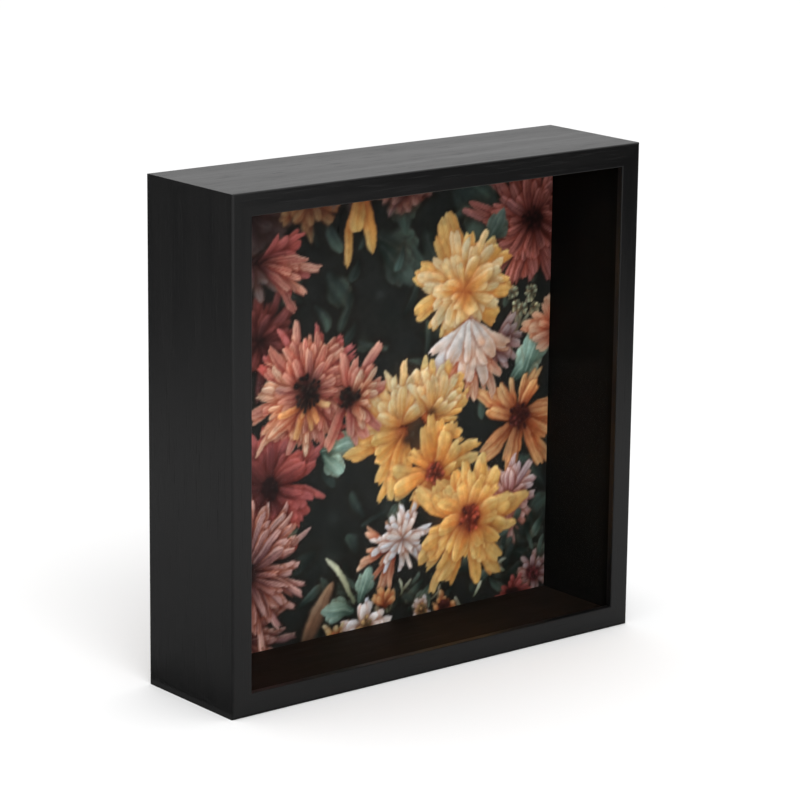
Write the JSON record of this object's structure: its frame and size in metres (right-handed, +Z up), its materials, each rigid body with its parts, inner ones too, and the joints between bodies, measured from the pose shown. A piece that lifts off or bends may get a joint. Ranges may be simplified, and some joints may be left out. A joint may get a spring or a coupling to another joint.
{
  "type": "shadow box",
  "caption": "Square black wooden shadow box with a deep spacer box behind its glass, a floral print, and a back panel held by bendable tabs, with a D-ring to hang it.",
  "frame": {"origin": "middle of the base: the centre of the underside of the bottom rail", "axes": "+X to the viewer's right, +Y from the front to the back, +Z up"},
  "size_m": [0.214, 0.058, 0.214],
  "materials": {
    "frame_wood": "black stained, satin",
    "nail_steel": "plain",
    "glass": "clear",
    "spacer_board": "smooth black lacquer",
    "print_paper": "satin photo paper",
    "hardboard": "smooth hardboard",
    "tab_steel": "zinc plated",
    "hanger_steel": "nickel plated"
  },
  "bodies": {
    "case": {"frame_top": "frame_wood", "frame_bottom": "frame_wood", "frame_left": "frame_wood", "frame_right": "frame_wood", "corner_v_nails": "nail_steel", "glass_pane": "glass", "spacer_top": "spacer_board", "spacer_bottom": "spacer_board", "spacer_left": "spacer_board", "spacer_right": "spacer_board", "print_sheet": "print_paper", "back_panel": "hardboard", "tab_roots": "tab_steel", "hanger_strap": "hanger_steel", "hanger_rivet": "hanger_steel"},
    "flex_tab_top_left": {"flex_tab_top_left": "tab_steel"},
    "flex_tab_top_right": {"flex_tab_top_right": "tab_steel"},
    "flex_tab_bottom_left": {"flex_tab_bottom_left": "tab_steel"},
    "flex_tab_bottom_right": {"flex_tab_bottom_right": "tab_steel"},
    "flex_tab_left_upper": {"flex_tab_left_upper": "tab_steel"},
    "flex_tab_left_lower": {"flex_tab_left_lower": "tab_steel"},
    "flex_tab_right_upper": {"flex_tab_right_upper": "tab_steel"},
    "flex_tab_right_lower": {"flex_tab_right_lower": "tab_steel"},
    "hanger_ring": {"hanger_ring": "hanger_steel"}
  },
  "joints": [
    {"name": "flex_tab_top_left_bend", "type": "hinge", "parent": "case", "child": "flex_tab_top_left", "pos_m": [-0.059, 0.02115, 0.2089], "axis": [1, 0, 0], "range_deg": [0, 88]},
    {"name": "flex_tab_top_right_bend", "type": "hinge", "parent": "case", "child": "flex_tab_top_right", "pos_m": [0.059, 0.02115, 0.2089], "axis": [1, 0, 0], "range_deg": [0, 88]},
    {"name": "flex_tab_bottom_left_bend", "type": "hinge", "parent": "case", "child": "flex_tab_bottom_left", "pos_m": [-0.059, 0.02115, 0.0051], "axis": [-1, 0, 0], "range_deg": [0, 88]},
    {"name": "flex_tab_bottom_right_bend", "type": "hinge", "parent": "case", "child": "flex_tab_bottom_right", "pos_m": [0.059, 0.02115, 0.0051], "axis": [-1, 0, 0], "range_deg": [0, 88]},
    {"name": "flex_tab_left_upper_bend", "type": "hinge", "parent": "case", "child": "flex_tab_left_upper", "pos_m": [-0.1019, 0.02115, 0.166], "axis": [0, 0, 1], "range_deg": [0, 88]},
    {"name": "flex_tab_left_lower_bend", "type": "hinge", "parent": "case", "child": "flex_tab_left_lower", "pos_m": [-0.1019, 0.02115, 0.048], "axis": [0, 0, 1], "range_deg": [0, 88]},
    {"name": "flex_tab_right_upper_bend", "type": "hinge", "parent": "case", "child": "flex_tab_right_upper", "pos_m": [0.1019, 0.02115, 0.166], "axis": [0, 0, -1], "range_deg": [0, 88]},
    {"name": "flex_tab_right_lower_bend", "type": "hinge", "parent": "case", "child": "flex_tab_right_lower", "pos_m": [0.1019, 0.02115, 0.048], "axis": [0, 0, -1], "range_deg": [0, 88]},
    {"name": "hanger_ring_swing", "type": "hinge", "parent": "case", "child": "hanger_ring", "pos_m": [0, 0.02238, 0.1866], "axis": [1, 0, 0], "range_deg": [0, 172]}
  ]
}
